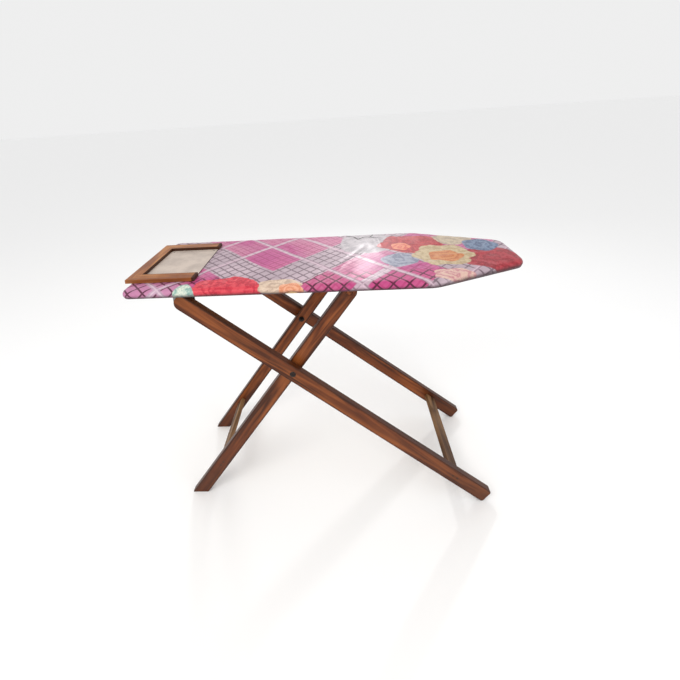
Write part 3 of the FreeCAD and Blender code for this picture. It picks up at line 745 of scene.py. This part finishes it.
def top_rings(mesh, loop, flat):
    """The cloth's top, from the middle line out to where the edge starts to roll."""
    rings = []
    count = round((HALF_WIDTH - EDGE_ROLL) / RING_STEP)
    for r in range(count + 1):
        ring = []
        for point, way in loop:
            spot = inner_point(point, way, EDGE_ROLL, r / count)
            z = TOP_Z + top_height(spot.x, spot.y, (point - spot).length)
            vert = mesh.verts.new((spot.x, spot.y, z))
            flat[vert] = spot.copy()
            ring.append(vert)
        rings.append(ring)
    return rings


def edge_rings(mesh, loop, flat, rim_lift):
    """The cloth's edge, from the top roll down the side and round to the hem's inner edge."""
    rings = []
    distances = outline_distances(loop)
    travel = 0.0
    before = (-EDGE_ROLL, TOP_Z)
    for out, up, tuck in edge_profile():
        travel += math.hypot(out - before[0], up - before[1])
        before = (out, up)
        rolled = max(0.0, 1 - tuck / SIDE_TUCK)
        lifted = min(1.0, max(0.0, (tuck - SIDE_TUCK) / SIDE_TUCK)) if tuck < HEM_TUCK else 0.0
        ring = []
        for k, (point, way) in enumerate(loop):
            gather = pucker(distances[k]) * tuck
            spot = point + way * (out + gather_depth(gather, tuck))
            z = up + rim_lift[k] * rolled + notch(point, way) * lifted
            vert = mesh.verts.new((spot.x, spot.y, z))
            flat[vert] = point + way * (travel - EDGE_ROLL)
            ring.append(vert)
        rings.append(ring)
    return rings


def bridge(mesh, rings):
    """Faces between each ring of points and the next."""
    for inner, outer in zip(rings, rings[1:]):
        for k in range(len(inner)):
            j = (k + 1) % len(inner)
            mesh.faces.new((inner[k], outer[k], outer[j], inner[j]))


def close_up(mesh, verts):
    """Welds the points that meet on the middle line and turns all faces outwards."""
    bmesh.ops.remove_doubles(mesh, verts=verts, dist=WELD)
    bmesh.ops.dissolve_degenerate(mesh, dist=SLIVER, edges=mesh.edges)
    bmesh.ops.recalc_face_normals(mesh, faces=mesh.faces)


def cover_mesh():
    """The cloth's outer face, with each point's place on the flat cloth kept as its UV."""
    loop = outline_loop(LOOP_STEP)
    mesh = bmesh.new()
    flat = {}
    rings = top_rings(mesh, loop, flat)
    rim_lift = [vert.co.z - TOP_Z for vert in rings[-1]]
    rings += edge_rings(mesh, loop, flat, rim_lift)
    bridge(mesh, rings)
    layer = mesh.loops.layers.uv.new("cloth")
    for face in mesh.faces:
        for corner in face.loops:
            spot = flat[corner.vert]
            corner[layer].uv = (spot.x - HEEL_X, spot.y)
    close_up(mesh, rings[0])
    return mesh


def to_object(name, mesh, material):
    data = bpy.data.meshes.new(name)
    mesh.to_mesh(data)
    mesh.free()
    for face in data.polygons:
        face.use_smooth = True
    made = bpy.data.objects.new(name, data)
    bpy.context.collection.objects.link(made)
    data.materials.append(material)
    return made


def apply_modifiers(piece):
    """Turns the piece's modifiers into its mesh."""
    bpy.context.view_layer.update()
    made = bpy.data.meshes.new_from_object(piece.evaluated_get(bpy.context.evaluated_depsgraph_get()))
    piece.modifiers.clear()
    piece.data = made


def cloth_cut():
    """Width, length and area the cloth is cut to: the outline grown by what wraps the edge and the hem."""
    profile = [(-EDGE_ROLL, TOP_Z)] + [(out, up) for out, up, _ in edge_profile()]
    wrap = sum(math.dist(a, b) for a, b in zip(profile, profile[1:])) - EDGE_ROLL
    points = [point for point, _ in outline_loop(LOOP_STEP)]
    pairs = list(zip(points, points[1:] + points[:1]))
    inside = sum(a.x * b.y - b.x * a.y for a, b in pairs) / 2
    around = sum((b - a).length for a, b in pairs)
    width = 2 * (HALF_WIDTH + wrap)
    length = NOSE_X - HEEL_X + 2 * wrap
    return width, length, inside + around * wrap + math.pi * wrap ** 2


def make_cover():
    """The printed cloth, stretched over the padding and turned under the deck."""
    width, length, area = cloth_cut()
    piece = to_object("cover_cloth", cover_mesh(), cover_print())
    shell = piece.modifiers.new("thickness", "SOLIDIFY")
    shell.thickness = CLOTH
    shell.offset = -1.0
    apply_modifiers(piece)
    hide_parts("cover")
    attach(piece, "board")


# ------------------------------------------------------------------ the padding under the cover

def felt():
    g = Graph("padding_felt")
    where = g.place()
    fibre = g.noise(where, 700.0, 4.0, 0.7, 1.0)
    cloud = g.noise(where, 30.0, 3.0)
    colour = g.mix(fibre, ink("cfc09a"), ink("e6dcc0"))
    colour = g.mix(g.step(cloud, 0.5, 0.8) * 0.3, colour, ink("a8946a"))
    return g.shader(colour, fibre * 0.1 + 0.85, g.bump(fibre, 0.001, 0.6), specular=0.2, sheen=0.3)


def padding_rings(mesh, loop):
    """The padding's rings: out over the top, down the side and back under to the middle line."""
    gap = CLOTH + PAD_GAP
    top, bottom = TOP_Z - gap, DECK_Z + PAD_LIFT
    rings = []
    for share in PAD_SHARES:
        ring = []
        for point, way in loop:
            spot = inner_point(point, way, EDGE_ROLL + gap, share)
            rise = top_height(spot.x, spot.y, (point - spot).length) * PAD_CROWN
            ring.append(mesh.verts.new((spot.x, spot.y, top + rise - PAD_SINK)))
        rings.append(ring)
    for degrees in PAD_ROLL_DEGREES:
        turn = math.radians(degrees)
        z = top - (top - DECK_Z) * (1 - math.cos(turn))
        out = PAD_ROLL * math.sin(turn) - EDGE_ROLL - gap
        rings.append([mesh.verts.new((*(point + way * out), z)) for point, way in loop])
    for inset in PAD_UNDER_INSETS:
        rings.append([mesh.verts.new((*(point - way * (inset + gap)), bottom)) for point, way in loop])
    rings.append([mesh.verts.new((*middle_point(point.x), bottom)) for point, _ in loop])
    return rings


def make_padding():
    """A soft slab that fills the cover from the deck up."""
    mesh = bmesh.new()
    rings = padding_rings(mesh, outline_loop(PAD_LOOP_STEP))
    bridge(mesh, rings)
    close_up(mesh, rings[0] + rings[-1])
    piece = to_object("padding", mesh, felt())
    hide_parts("foam_pad")
    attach(piece, "board")


make_camera()
make_room()
dress_frame()
make_cover()
make_padding()
